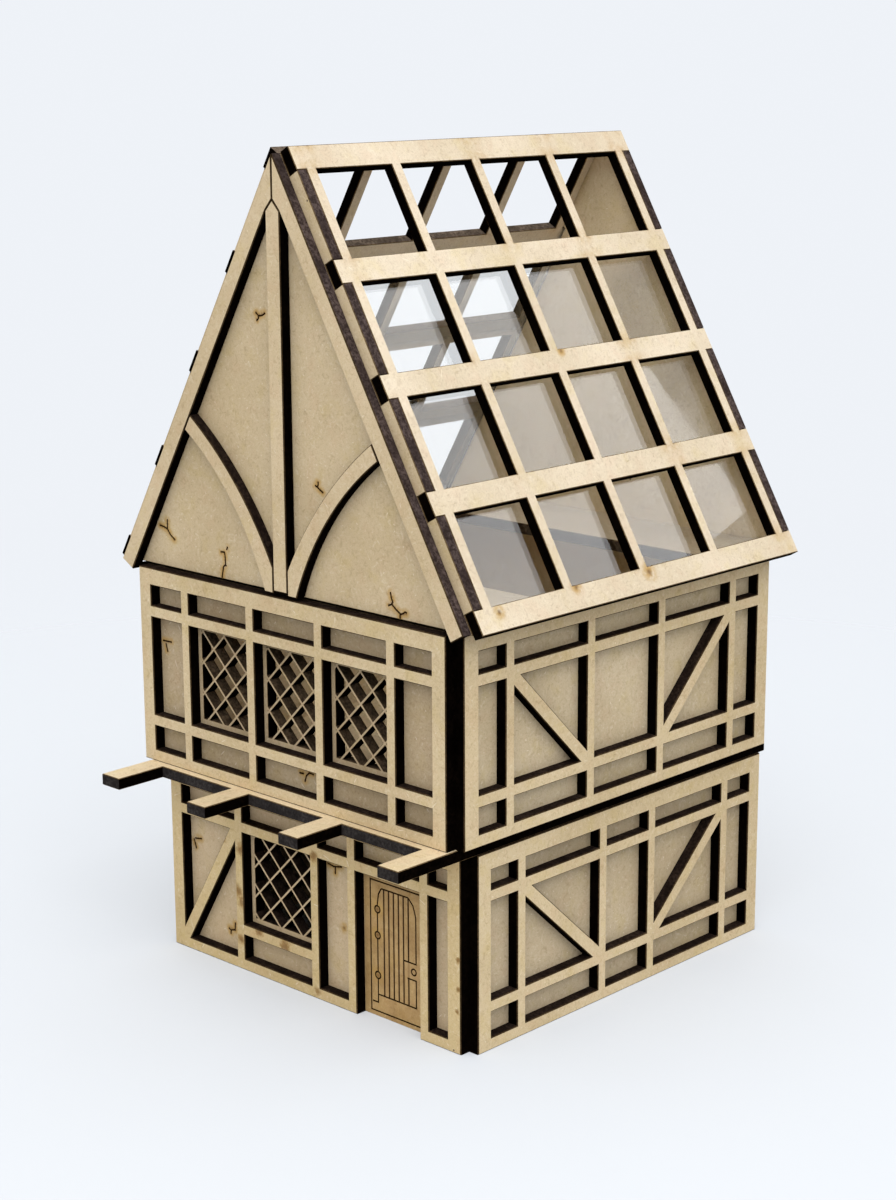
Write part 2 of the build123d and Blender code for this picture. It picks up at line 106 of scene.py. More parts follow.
def shaderNoise(tree, place, scale, detail=2.0, roughness=0.5, twist=0.0):
    node = tree.nodes.new("ShaderNodeTexNoise")
    tree.links.new(place, node.inputs["Vector"])
    node.inputs["Scale"].default_value = scale
    node.inputs["Detail"].default_value = detail
    node.inputs["Roughness"].default_value = roughness
    node.inputs["Distortion"].default_value = twist
    return node.outputs["Fac"]


def shaderVector(tree, operation, place, other):
    node = tree.nodes.new("ShaderNodeVectorMath")
    node.operation = operation
    tree.links.new(place, node.inputs[0])
    node.inputs[1].default_value = other
    return node.outputs["Value"]


def startMaterial(name):
    material = bpy.data.materials.new(name)
    material.use_nodes = True
    tree = material.node_tree
    place = tree.nodes.new("ShaderNodeTexCoord").outputs["Object"]
    return material, tree, tree.nodes["Principled BSDF"], place


def bumpFrom(tree, bsdf, height, strength, distance):
    bump = tree.nodes.new("ShaderNodeBump")
    bump.inputs["Strength"].default_value = strength
    bump.inputs["Distance"].default_value = distance
    tree.links.new(height, bump.inputs["Height"])
    tree.links.new(bump.outputs["Normal"], bsdf.inputs["Normal"])


# Pale fibreboard: drifting tone, pink and yellow clouds, mottling, loose strands and a few dark specks
board = {
    "lightShare": (1.05, 1.05, 1.06),
    "deepShare": (0.92, 0.90, 0.86),
    "driftScale": 30.0,
    "driftRange": (0.34, 0.66),
    "cloudScale": 150.0,
    "mottleScale": 620.0,
    "mottleTwist": 1.4,
    "grainScale": 3000.0,
    # which noise, where it starts and where it is full, how strong, its tone and how it mixes
    "layers": [
        ("cloud", 0.50, 0.70, 0.45, (0.98, 0.90, 0.87), "MULTIPLY"),
        ("cloud", 0.50, 0.30, 0.70, (0.96, 0.94, 0.80), "MULTIPLY"),
        ("mottle", 0.50, 0.74, 0.50, (0.60, 0.52, 0.43), "MULTIPLY"),
        ("mottle", 0.46, 0.28, 0.24, (0.95, 0.87, 0.70), "MIX"),
        ("grain", 0.48, 0.75, 0.30, (0.60, 0.54, 0.46), "MULTIPLY"),
    ],
    "paleStrands": {"scale": 300.0, "reach": 1.5, "thick": 0.17, "tone": (0.93, 0.84, 0.68), "amount": 0.50},
    "brownStrands": {"scale": 230.0, "reach": 1.7, "thick": 0.13, "tone": (0.36, 0.25, 0.13), "amount": 0.50},
    "strandCore": 0.3,  # shares of a strand or speck that are at full strength
    "strandTip": 0.5,
    "speckCore": 0.4,
    "speckScale": 95.0,
    "speckSize": 0.036,
    "speckTone": (0.07, 0.045, 0.025),
    "speckRarity": 0.78,
    "stainTone": (0.50, 0.30, 0.085),
    "stainPatch": {"scale": 480.0, "from": 0.30, "to": 0.56},
    "scorchTone": (0.150, 0.066, 0.018),
    "dullRange": (0.3, 0.7),
    "smooth": 0.58,
    "rough": 0.76,
    "gloss": 0.3,
    "bump": (0.3, 0.00004),
}


# One short strand in each cell, lying its own way; gives how strongly a place is on one
def strandMask(tree, place, look):
    cell = tree.nodes.new("ShaderNodeTexVoronoi")
    tree.links.new(place, cell.inputs["Vector"])
    cell.inputs["Scale"].default_value = look["scale"]

    def step(operation, first, second=None, factor=None):
        node = tree.nodes.new("ShaderNodeVectorMath")
        node.operation = operation
        tree.links.new(first, node.inputs[0])
        if second is not None:
            feed(tree, node.inputs[1], second)
        if factor is not None:
            tree.links.new(factor, node.inputs["Scale"])
        return node.outputs["Value" if operation in ("DOT_PRODUCT", "LENGTH") else "Vector"]

    offset = step("SUBTRACT", place, cell.outputs["Position"])
    lean = step("NORMALIZE", step("SUBTRACT", cell.outputs["Color"], (0.5, 0.5, 0.5)))
    along = step("DOT_PRODUCT", offset, lean)
    aside = step("LENGTH", step("SUBTRACT", offset, step("SCALE", lean, factor=along)))
    thick = look["thick"] * mm
    reach = look["reach"] * mm
    slim = shaderRange(tree, aside, thick, thick * board["strandCore"])
    along = shaderMath(tree, "ABSOLUTE", along)
    short = shaderRange(tree, along, reach, reach * board["strandTip"])
    return shaderMath(tree, "MULTIPLY", shaderMath(tree, "MULTIPLY", slim, short), look["amount"])


def fibreColour(tree, place, tone):
    light = tuple(min(1.0, c * k) for c, k in zip(tone, board["lightShare"]))
    deep = tuple(c * k for c, k in zip(tone, board["deepShare"]))
    drift = shaderRange(tree, shaderNoise(tree, place, board["driftScale"], 3.0), *board["driftRange"])
    colour = shaderMix(tree, drift, deep, light)
    mottle = shaderNoise(tree, place, board["mottleScale"], 4.0, 0.7, board["mottleTwist"])
    noises = {
        "cloud": shaderNoise(tree, place, board["cloudScale"], 4.0, 0.6),
        "mottle": mottle,
        "grain": shaderNoise(tree, place, board["grainScale"], 1.0),
    }
    for noise, low, high, amount, layerTone, blend in board["layers"]:
        share = shaderRange(tree, noises[noise], low, high, 0.0, amount)
        colour = shaderMix(tree, share, colour, layerTone, blend)
    for look in (board["paleStrands"], board["brownStrands"]):
        colour = shaderMix(tree, strandMask(tree, place, look), colour, look["tone"])
    speck = tree.nodes.new("ShaderNodeTexVoronoi")
    tree.links.new(place, speck.inputs["Vector"])
    speck.inputs["Scale"].default_value = board["speckScale"]
    size = board["speckSize"]
    dot = shaderRange(tree, speck.outputs["Distance"], size, size * board["speckCore"])
    draw = shaderVector(tree, "DOT_PRODUCT", speck.outputs["Color"], (1, 0, 0))
    chosen = shaderMath(tree, "GREATER_THAN", draw, board["speckRarity"])
    colour = shaderMix(tree, shaderMath(tree, "MULTIPLY", dot, chosen), colour, board["speckTone"])
    return colour, mottle


def smokeStains(tree, place, colour, halo, core):
    look = board["stainPatch"]
    patch = shaderRange(tree, shaderNoise(tree, place, look["scale"], 3.0, 0.6), look["from"], look["to"])
    colour = shaderMix(tree, shaderMath(tree, "MULTIPLY", halo, patch), colour, board["stainTone"])
    return shaderMix(tree, core, colour, board["scorchTone"])


def boardFace(name, tone, stains=None, patch=None):
    material, tree, bsdf, place = startMaterial(name)
    colour, fibre = fibreColour(tree, place, tone)
    if patch:
        colour = patch(tree, place, colour)
    if stains:
        colour = smokeStains(tree, place, colour, *stains(tree, place))
    tree.links.new(colour, bsdf.inputs["Base Color"])
    dull = shaderRange(tree, fibre, *board["dullRange"], board["smooth"], board["rough"])
    tree.links.new(dull, bsdf.inputs["Roughness"])
    bsdf.inputs["Specular IOR Level"].default_value = board["gloss"]
    bumpFrom(tree, bsdf, fibre, *board["bump"])
    return material


# Laser-cut edges: charred, with fine ribs; near-black where the cut is shaded, as painted shade over the
# char, and lighter brown where it looks up or toward the light, as painted light
charred = {
    # near-black copy of the char: painted shade for cut faces turned away from the light
    "charAndShade": ((0.0008, 0.0005, 0.0004), (0.0048, 0.0028, 0.0018)),
    # dim brown copy: painted light on up-facing cut faces of the frames and braces, and of the ground walls,
    # where it is kept low as painted shade under the jetty
    "brown": ((0.0080, 0.0050, 0.0040), (0.038, 0.025, 0.019)),
    # light brown copy: painted light on cut faces that look up
    "paintedLight": ((0.024, 0.016, 0.014), (0.115, 0.084, 0.076)),
    # grey copy, given to the front-facing cut ends of the jetty floor
    "grey": ((0.017, 0.0145, 0.0138), (0.056, 0.049, 0.046)),
    # brown copy: painted light on the up-facing cut faces of the upper window bars, also given to the
    # front-facing edges of the attic ring
    "bar": ((0.024, 0.016, 0.010), (0.120, 0.082, 0.050)),
    # lightest copy: painted light and sheen on the roof lattice's up-facing cut faces
    "slope": ((0.055, 0.040, 0.030), (0.230, 0.175, 0.130)),
    "rim": ((0.080, 0.050, 0.024), (0.210, 0.140, 0.068)),
    # dark arris of frames and timbers: charred, and painted shade of the gap where the piece lies on the
    # sheet behind
    "timberRim": ((0.030, 0.018, 0.009), (0.095, 0.060, 0.028)),
    "line": ((0.018, 0.008, 0.003), (0.085, 0.040, 0.012)),
    "cloudScale": 190.0,
    "leastCloud": 0.25,
    "ribScale": 1300.0,
    "leastRib": 0.1,
    "spread": (0.34, 0.66),
    "dullRange": (0.3, 0.7),
    "smooth": 0.62,
    "rough": 0.90,
    "ior": 1.01,
    "bump": (0.5, 0.00008),
}


def cutEdge(name, shades):
    material, tree, bsdf, place = startMaterial(name)
    cloud = shaderNoise(tree, place, charred["cloudScale"], 4.0, 0.65)
    cloud = shaderRange(tree, cloud, *charred["spread"], charred["leastCloud"], 1.0)
    rib = shaderNoise(tree, place, charred["ribScale"], 3.0, 0.7)
    streak = shaderRange(tree, rib, *charred["spread"], charred["leastRib"], 1.0)
    amount = shaderMath(tree, "MULTIPLY", cloud, streak)
    tree.links.new(shaderMix(tree, amount, *shades), bsdf.inputs["Base Color"])
    dull = shaderRange(tree, rib, *charred["dullRange"], charred["smooth"], charred["rough"])
    tree.links.new(dull, bsdf.inputs["Roughness"])
    bsdf.inputs["IOR"].default_value = charred["ior"]
    bumpFrom(tree, bsdf, rib, *charred["bump"])
    return material


# Smoke stains by the roof lattice's cell corners, in the slope's own running lengths
lattice = {
    "purlin": 6.1,
    "cellLength": 23.02,
    "rafter": 3.1,
    "cellWidth": 24.8,
    "endNotch": 3.0,
    "stainReach": 4.2,
    "stainStrength": 0.45,
    "scorchReach": 0.8,
    "scorchStrength": 0.5,
    "unevenScale": 45.0,
    "unevenRange": (0.42, 0.62),
    # X, Y, Z and reach of the larger smoke spots on the right slope
    "spots": [
        (61.5, 9.5, 110.0, 3.4), (61.1, -17.2, 110.8, 2.8),
        (61.6, -44.6, 109.8, 2.6), (32.0, 10.4, 161.2, 2.2),
    ],
}


def nearestLine(tree, along, start, cell, bar):
    pitch = (cell + bar) * mm
    phase = shaderMath(tree, "FLOORED_MODULO", shaderMath(tree, "SUBTRACT", along, start * mm), pitch)
    first = shaderMath(tree, "ABSOLUTE", phase)
    second = shaderMath(tree, "ABSOLUTE", shaderMath(tree, "SUBTRACT", phase, cell * mm))
    third = shaderMath(tree, "ABSOLUTE", shaderMath(tree, "SUBTRACT", phase, pitch))
    return shaderMath(tree, "MINIMUM", first, shaderMath(tree, "MINIMUM", second, third))


def latticeStains(side, spots):
    def amounts(tree, place):
        run = (side * math.cos(house["roofPitch"]), 0.0, -math.sin(house["roofPitch"]))
        down = shaderVector(tree, "DOT_PRODUCT", place, run)
        down = shaderMath(tree, "ADD", down, house["ridgeTop"] * mm * math.sin(house["roofPitch"]))
        across = shaderVector(tree, "DOT_PRODUCT", place, (0.0, 1.0, 0.0))
        cellStart = house["gable"] + lattice["endNotch"] + lattice["rafter"]
        nearDown = nearestLine(tree, down, lattice["purlin"], lattice["cellLength"], lattice["purlin"])
        nearAcross = nearestLine(tree, across, cellStart, lattice["cellWidth"], lattice["rafter"])
        squared = shaderMath(
            tree, "ADD", shaderMath(tree, "POWER", nearDown, 2.0), shaderMath(tree, "POWER", nearAcross, 2.0)
        )
        corner = shaderMath(tree, "SQRT", squared)
        uneven = shaderRange(tree, shaderNoise(tree, place, lattice["unevenScale"]), *lattice["unevenRange"])
        halo = shaderRange(tree, corner, lattice["stainReach"] * mm, 0.0, 0.0, lattice["stainStrength"])
        core = shaderRange(tree, corner, lattice["scorchReach"] * mm, 0.0, 0.0, lattice["scorchStrength"])
        spotHalo, spotCore = scorchStains(spots)(tree, place)
        halo = shaderMath(tree, "MAXIMUM", shaderMath(tree, "MULTIPLY", halo, uneven), spotHalo)
        core = shaderMath(tree, "MAXIMUM", shaderMath(tree, "MULTIPLY", core, uneven), spotCore)
        return halo, core

    return amounts


# Scorch along the engraved plaster cracks and at knots: places on one sheet's face, in millimetres
scorch = {
    "step": 0.9,
    "reach": 1.7,
    "haloStrength": 0.90,
    "haloFull": 0.25,
    "crackCore": (0.40, 0.80),
    "knotCore": (1.0, 0.70),
    "ragScale": 900.0,
    "crackRag": 0.25,
    "knotRag": 1.6,
}


def crackPlaces(y, cracks):
    places = []
    for crack in cracks:
        for (x0, z0), (x1, z1) in zip(crack, crack[1:]):
            count = max(1, round(math.hypot(x1 - x0, z1 - z0) / scorch["step"]))
            for n in range(count):
                share = (n + 0.5) / count
                places.append((x0 + (x1 - x0) * share, y, z0 + (z1 - z0) * share, scorch["reach"]))
    return places


def spotPlaces(y, spots):
    return [(x, y, z, reach) for x, z, reach in spots]


def scorchStains(places, coreLook=scorch["crackCore"], rag=scorch["crackRag"]):
    def amounts(tree, place):
        nearest = None
        for x, y, z, reach in places:
            away = shaderVector(tree, "DISTANCE", place, (x * mm, y * mm, z * mm))
            away = shaderMath(tree, "MULTIPLY", away, 1.0 / (reach * mm))
            nearest = away if nearest is None else shaderMath(tree, "MINIMUM", nearest, away)
        uneven = shaderMath(tree, "SUBTRACT", shaderNoise(tree, place, scorch["ragScale"], 3.0, 0.6), 0.5)
        nearest = shaderMath(tree, "ADD", nearest, shaderMath(tree, "MULTIPLY", uneven, rag))
        halo = shaderRange(tree, nearest, 1.0, scorch["haloFull"], 0.0, scorch["haloStrength"])
        core = shaderRange(tree, nearest, coreLook[0], 0.0, 0.0, coreLook[1])
        return halo, core

    return amounts


gableCracks = [
    [(-48.6, 115.9), (-45.5, 115.3), (-44.4, 113.9), (-42.5, 112.7)], [(-45.5, 115.3), (-45.4, 117.8)],
    [(-22.3, 114.0), (-22.8, 113.1)], [(-25.1, 112.3), (-23.6, 112.4), (-23.3, 109.2)],
    [(-23.3, 109.2), (-24.1, 108.7), (-24.8, 105.6)], [(34.6, 111.6), (35.4, 109.2), (33.8, 108.2)],
    [(35.1, 108.7), (37.7, 106.9), (37.7, 105.6)], [(37.8, 106.7), (40.0, 107.4)],
    [(10.8, 134.6), (10.5, 133.2), (9.7, 133.5)], [(10.5, 133.2), (12.6, 132.0)],
    [(-9.9, 173.0), (-8.8, 172.2), (-6.4, 173.0)], [(-8.8, 172.2), (-9.6, 170.9)],
]
upperCracks = [
    [(1.7, 60.5), (3.3, 60.6)], [(6.9, 61.1), (5.3, 61.2), (4.2, 60.2), (3.6, 58.5)],
    [(-49.4, 85.2), (-45.8, 85.3)], [(-48.3, 84.8), (-47.6, 82.4)],
]
groundCracks = [
    [(4.1, 35.9), (6.6, 35.5), (9.5, 36.1)], [(7.1, 35.5), (7.0, 33.6)], [(-46.9, 30.2), (-44.0, 30.7)],
    [(-47.3, 30.1), (-46.4, 27.4)], [(-31.5, 10.5), (-31.7, 8.1)], [(-34.3, 8.3), (-31.7, 8.4)],
    [(-33.3, 7.9), (-33.4, 6.7)],
]
# X, Z and reach of the nicks and hinge rings on the ground wall, and of the knots on its frame
groundNicks = [(9.9, 20.1, 2.2), (21.85, 28.2, 3.4), (21.85, 21.4, 3.2), (21.85, 10.9, 3.0)]
frameKnots = [
    (-25.2, 33.0, 2.4), (-26.6, 21.6, 2.2), (-24.9, 18.6, 2.6), (-18.7, 12.2, 2.0),
    (-9.0, 11.0, 2.8), (-26.0, 8.2, 1.9), (-32.4, 34.6, 2.0), (2.4, 38.0, 2.0),
    (51.9, 24.0, 1.0), (51.9, 16.6, 0.9), (51.7, 10.9, 0.9), (3.0, 2.0, 1.5),
]

# The engraved door's bay is toasted darker than the wall round it, with cloudy patches
door = {
    "left": 17.2,
    "right": 39.2,
    "high": 37.7,
    "soft": 0.3,
    "tint": (0.83, 0.70, 0.47),
    "patchTint": (0.58, 0.45, 0.27),
    "patchPlace": (33.4, house["groundWall"], 24.2),
    "patchReach": 6.5,
    "patchStrength": 0.8,
    "blotchScale": 170.0,
    "blotchRange": (0.40, 0.66),
    "blotchStrength": 0.7,
    "plankFirst": 24.10,
    "plankPitch": 1.68,
    "plankCount": 6,
    "leafLow": 5.85,
    "leafHigh": 33.9,
    "toastReach": 0.62,
    "toastTone": (0.20, 0.105, 0.040),
    "toastStrength": 0.55,
}


def doorField(tree, place, colour):
    x = shaderVector(tree, "DOT_PRODUCT", place, (1.0, 0.0, 0.0))
    z = shaderVector(tree, "DOT_PRODUCT", place, (0.0, 0.0, 1.0))
    soft = door["soft"] * mm
    left, right, high = (door[name] * mm for name in ("left", "right", "high"))
    inside = shaderRange(tree, x, left - soft, left + soft)
    inside = shaderMath(tree, "MULTIPLY", inside, shaderRange(tree, x, right + soft, right - soft))
    inside = shaderMath(tree, "MULTIPLY", inside, shaderRange(tree, z, high + soft, high - soft))
    away = shaderVector(tree, "DISTANCE", place, tuple(c * mm for c in door["patchPlace"]))
    middle = shaderRange(tree, away, door["patchReach"] * mm, 0.0, 0.0, door["patchStrength"])
    blotch = shaderNoise(tree, place, door["blotchScale"], 4.0, 0.6)
    blotch = shaderRange(tree, blotch, *door["blotchRange"], 0.0, door["blotchStrength"])
    tint = shaderMix(tree, shaderMath(tree, "MAXIMUM", middle, blotch), door["tint"], door["patchTint"])
    colour = shaderMix(tree, inside, colour, tint, "MULTIPLY")
    # toasted brown along the lines between the planks
    half = door["plankPitch"] / 2
    start = (door["plankFirst"] - half) * mm
    end = start + door["plankPitch"] * door["plankCount"] * mm
    pitch = door["plankPitch"] * mm
    phase = shaderMath(tree, "FLOORED_MODULO", shaderMath(tree, "SUBTRACT", x, start), pitch)
    aside = shaderMath(tree, "ABSOLUTE", shaderMath(tree, "SUBTRACT", phase, half * mm))
    toast = shaderRange(tree, aside, door["toastReach"] * mm, 0.0, 0.0, door["toastStrength"])
    for value, low, high in ((x, start, end), (z, door["leafLow"] * mm, door["leafHigh"] * mm)):
        toast = shaderMath(tree, "MULTIPLY", toast, shaderRange(tree, value, low, low + soft))
        toast = shaderMath(tree, "MULTIPLY", toast, shaderRange(tree, value, high, high - soft))
    return shaderMix(tree, toast, colour, door["toastTone"])


tones = {
    "wall": (0.62, 0.50, 0.325),
    # ground walls darker than the upper ones: painted shade of the lower storey
    "groundWall": (0.565, 0.450, 0.290),
    "groundFrontWall": (0.62, 0.475, 0.295),
    # darker than the other walls: painted shade of the recessed panels under the rails and the gable
    "upperFrontWall": (0.495, 0.378, 0.232),
    "frame": (0.655, 0.518, 0.314),
    "groundFrontFrame": (0.635, 0.485, 0.255),
    "floor": (0.71, 0.57, 0.365),
    # darker than the other boards: painted shade inside the roof space
    "ring": (0.49, 0.39, 0.26),
    "frontGable": (0.645, 0.51, 0.32),
    # lighter than the front gable: painted light on the inner face seen through the roof
    "backGable": (0.695, 0.555, 0.35),
    "timber": (0.67, 0.53, 0.335),
    "roof": (0.75, 0.635, 0.472),
}

mirroredSpots = [(-x, y, z, reach) for x, y, z, reach in lattice["spots"]]
groundPlaces = crackPlaces(house["groundWall"], groundCracks) + spotPlaces(house["groundWall"], groundNicks)
knotPlaces = spotPlaces(house["groundFrame"], frameKnots)
upperPlaces = crackPlaces(house["upperWall"], upperCracks)
gablePlaces = crackPlaces(house["gable"], gableCracks)
finishes = {
    "upperWallFace": boardFace("upperWallFace", tones["wall"]),
    "groundWallFace": boardFace("groundWallFace", tones["groundWall"]),
    "groundFrontFace": boardFace(
        "groundFrontFace", tones["groundFrontWall"], scorchStains(groundPlaces), doorField
    ),
    "upperFrontFace": boardFace("upperFrontFace", tones["upperFrontWall"], scorchStains(upperPlaces)),
    "frameFace": boardFace("frameFace", tones["frame"]),
    "groundFrontFrameFace": boardFace(
        "groundFrontFrameFace", tones["groundFrontFrame"],
        scorchStains(knotPlaces, scorch["knotCore"], scorch["knotRag"]),
    ),
    "floorFace": boardFace("floorFace", tones["floor"]),
    "ringFace": boardFace("ringFace", tones["ring"]),
    "backGableFace": boardFace("backGableFace", tones["backGable"]),
    "frontGableFace": boardFace("frontGableFace", tones["frontGable"], scorchStains(gablePlaces)),
    "timberFace": boardFace("timberFace", tones["timber"]),
    "roofFaceLeft": boardFace("roofFaceLeft", tones["roof"], latticeStains(-1, mirroredSpots)),
    "roofFaceRight": boardFace("roofFaceRight", tones["roof"], latticeStains(1, lattice["spots"])),
    "charAndShadeEdge": cutEdge("charAndShadeEdge", charred["charAndShade"]),
    "brownEdge": cutEdge("brownEdge", charred["brown"]),
    "paintedLightEdge": cutEdge("paintedLightEdge", charred["paintedLight"]),
    "greyEdge": cutEdge("greyEdge", charred["grey"]),
    "barEdge": cutEdge("barEdge", charred["bar"]),
    "slopeEdge": cutEdge("slopeEdge", charred["slope"]),
    "toastedRim": cutEdge("toastedRim", charred["rim"]),
    "timberRim": cutEdge("timberRim", charred["timberRim"]),
    "barRim": cutEdge("barRim", charred["rim"]),
    "scoredLine": cutEdge("scoredLine", charred["line"]),
}
print("board finishes ready:", len(finishes))

# Clear acrylic panes: they bend nothing at this thickness, mirror the room and let the lamps through
acrylic = {
    "tint": (0.958, 0.965, 0.963, 1.0),
    "lampTint": (0.72, 0.73, 0.73, 1.0),
    "ior": 1.49,
    "clean": 0.008,
    "smeared": 0.05,
    "smearScale": 55.0,
    "smearRange": (0.45, 0.75),
    "bump": (0.03, 0.0002),
}


def clearSheet():
    material, tree, bsdf, place = startMaterial("clearAcrylic")
    bsdf.inputs["Base Color"].default_value = acrylic["tint"]
    bsdf.inputs["Transmission Weight"].default_value = 1.0
    bsdf.inputs["IOR"].default_value = acrylic["ior"]
    smear = shaderNoise(tree, place, acrylic["smearScale"], 3.0)
    dull = shaderRange(tree, smear, *acrylic["smearRange"], acrylic["clean"], acrylic["smeared"])
    tree.links.new(dull, bsdf.inputs["Roughness"])
    bumpFrom(tree, bsdf, smear, *acrylic["bump"])
    through = tree.nodes.new("ShaderNodeBsdfTransparent")
    through.inputs["Color"].default_value = acrylic["lampTint"]
    lamps = tree.nodes.new("ShaderNodeLightPath").outputs["Is Shadow Ray"]
    both = tree.nodes.new("ShaderNodeMixShader")
    tree.links.new(lamps, both.inputs[0])
    tree.links.new(bsdf.outputs[0], both.inputs[1])
    tree.links.new(through.outputs[0], both.inputs[2])
    tree.links.new(both.outputs[0], tree.nodes["Material Output"].inputs["Surface"])
    return material


finishes["clearSheet"] = clearSheet()

# Cut sheets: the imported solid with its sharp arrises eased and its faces, edges, rims and lines told apart
sheetCut = {
    "toastedRim": 0.18,
    "timberRim": 0.24,
    "barRim": 0.08,
    "scoreDepth": 0.6,
    "weld": 0.002,
    "mergeAngle": math.radians(1),
    "near": 0.03,
    "flatSlant": 0.9,  # above it a face is flat on the sheet, below edgeSlant it is a cut
    "edgeSlant": 0.3,
    "litSlant": 0.25,
}
houseMiddle = (Vector(cadBox[0]) + Vector(cadBox[1])) / 2
faceSlot, cutSlot, rimSlot, lineSlot, litSlot = range(5)


def easedSheet(
    nodeName, across, face, litEdge="paintedLightEdge", litFrom=(0, 0, 1), rim="toastedRim", bothFaces=True
):
    bm = bmesh.new()
    bm.from_mesh(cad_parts[nodeName].data)
    bmesh.ops.remove_doubles(bm, verts=bm.verts, dist=sheetCut["weld"] * mm)
    bmesh.ops.dissolve_limit(bm, angle_limit=sheetCut["mergeAngle"], verts=bm.verts, edges=bm.edges)
    across = Vector(across).normalized()
    depths = [v.co.dot(across) for v in bm.verts]
    low, high = min(depths), max(depths)
    near = sheetCut["near"] * mm
    outward = across if (low + high) / 2 > across.dot(houseMiddle) else -across

    def isFlat(f):
        return abs(f.normal.dot(across)) > sheetCut["flatSlant"]

    def isOuter(f):
        depth = f.calc_center_median().dot(across)
        return isFlat(f) and (depth - low < near or high - depth < near)

    def isThrough(f):
        span = [v.co.dot(across) for v in f.verts]
        return not isFlat(f) and max(span) - min(span) > sheetCut["scoreDepth"] * mm

    arrises = []
    for e in bm.edges:
        if len(e.link_faces) == 2:
            one, two = e.link_faces
            flat, cut = (one, two) if isFlat(one) else (two, one)
            if isOuter(flat) and isThrough(cut) and (bothFaces or flat.normal.dot(outward) > 0):
                arrises.append(e)
    bmesh.ops.bevel(
        bm, geom=arrises, offset=sheetCut[rim] * mm, offset_type="OFFSET", segments=1, profile=0.5,
        affect="EDGES", clamp_overlap=True,
    )
    bm.normal_update()
    for f in bm.faces:
        steep = abs(f.normal.dot(across))
        if isOuter(f):
            f.material_index = faceSlot
        elif steep < sheetCut["edgeSlant"] and isThrough(f):
            # cut faces turned toward litFrom take the sheet's lighter edge finish, painted light; other cut
            # faces take the near-black finish, painted shade
            isLit = f.normal.dot(Vector(litFrom)) > sheetCut["litSlant"]
            f.material_index = litSlot if isLit else cutSlot
        elif sheetCut["edgeSlant"] <= steep <= sheetCut["flatSlant"]:
            f.material_index = rimSlot
        else:
            f.material_index = lineSlot
        f.smooth = False
    bmesh.ops.triangulate(bm, faces=bm.faces)
    mesh = bpy.data.meshes.new(nodeName + "_board")
    bm.to_mesh(mesh)
    bm.free()
    for finish in (face, "charAndShadeEdge", rim, "scoredLine", litEdge):
        mesh.materials.append(finishes[finish])
    piece = bpy.data.objects.new(nodeName + "_board", mesh)
    bpy.context.scene.collection.objects.link(piece)
    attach(piece, "root")
    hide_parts(nodeName)
    return piece


acrossFront = (0, 1, 0)
acrossSide = (1, 0, 0)
flatSheet = (0, 0, 1)
slopeRight = (math.sin(house["roofPitch"]), 0, math.cos(house["roofPitch"]))
slopeLeft = (-math.sin(house["roofPitch"]), 0, math.cos(house["roofPitch"]))

sides = {"front": acrossFront, "back": acrossFront, "left": acrossSide, "right": acrossSide}
# up-facing cut faces: a dim finish on the ground storey, painted shade under the jetty, and a lighter one on
# the upper storey, painted light
for storey, cutBar in (("ground", "brownEdge"), ("upper", "barEdge")):
    for side, across in sides.items():
        wallFace = storey + ("FrontFace" if side == "front" else "WallFace")
        frameFace = "groundFrontFrameFace" if (storey, side) == ("ground", "front") else "frameFace"
        easedSheet(
            f"{storey}_{side}_wall", across, wallFace, cutBar,
            rim="barRim", bothFaces=False,
        )
        # frames take the dark rim: charred arris and painted shade of the gap against the wall behind
        easedSheet(
            f"{storey}_{side}_frame", across, frameFace, "brownEdge",
            rim="timberRim", bothFaces=False,
        )
easedSheet("jetty_floor", flatSheet, "floorFace", "greyEdge", (0, -1, 0))
easedSheet("attic_ring", flatSheet, "ringFace", "barEdge", (0, -1, 0))
easedSheet("front_gable", acrossFront, "frontGableFace")
easedSheet("back_gable", acrossFront, "backGableFace")
# the gable timbers take the dark rim: charred arris and painted shade of the gap against the gable behind
for end in ("front", "back"):
    for timber in ("left_bargeboard", "right_bargeboard", "king_post", "left_brace", "right_brace"):
        litEdge = "brownEdge" if timber.endswith("brace") else "paintedLightEdge"
        easedSheet(f"{end}_{timber}", acrossFront, "timberFace", litEdge, rim="timberRim")
easedSheet("roof_lattice_right", slopeRight, "roofFaceRight", "slopeEdge")
easedSheet("roof_lattice_left", slopeLeft, "roofFaceLeft", "slopeEdge")
for side in ("left", "right"):
    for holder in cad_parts[f"roof_glazing_{side}"].material_slots:
        holder.material = finishes["clearSheet"]
print("sheets eased and dressed")

# Studio: pale floor that melts into a white room, a broad lamp high at the right, a weak fill in front
# and a bright card behind the right slope that only shows mirrored in the panes
studio = {
    "floorSize": 6.0,
    "floorTone": (0.71, 0.735, 0.77, 1.0),
    "floorGrain": 40.0,
    "floorGrainRange": (0.3, 0.7),
    "floorRough": (0.82, 0.95),
    "floorFadeFrom": 0.05,
    "floorFadeTo": 0.70,
    "floorClear": 0.35,
    "footHalf": (0.0515, 0.0548),
    "footMiddle": 0.0104,
    "footSoft": 0.001,
    "backdrop": (0.860, 0.890, 0.935, 1.0),
    "roomTone": (0.97, 0.985, 1.0, 1.0),
    "roomLow": 0.50,
    "roomHigh": 1.20,
    "lamps": {
        "windowCard": {"place": (1.01, 0.87, 1.32), "size": 1.17, "power": 8.0, "mirrorOnly": True},
        "keyLamp": {"place": (0.78, -0.45, 1.26), "size": 1.2, "power": 11.0, "mirrorOnly": False},
        "fillLamp": {"place": (0.30, -1.15, 1.00), "size": 1.2, "power": 3.0, "mirrorOnly": False},
    },
    "aim": (0.0, 0.0, 0.11),
}


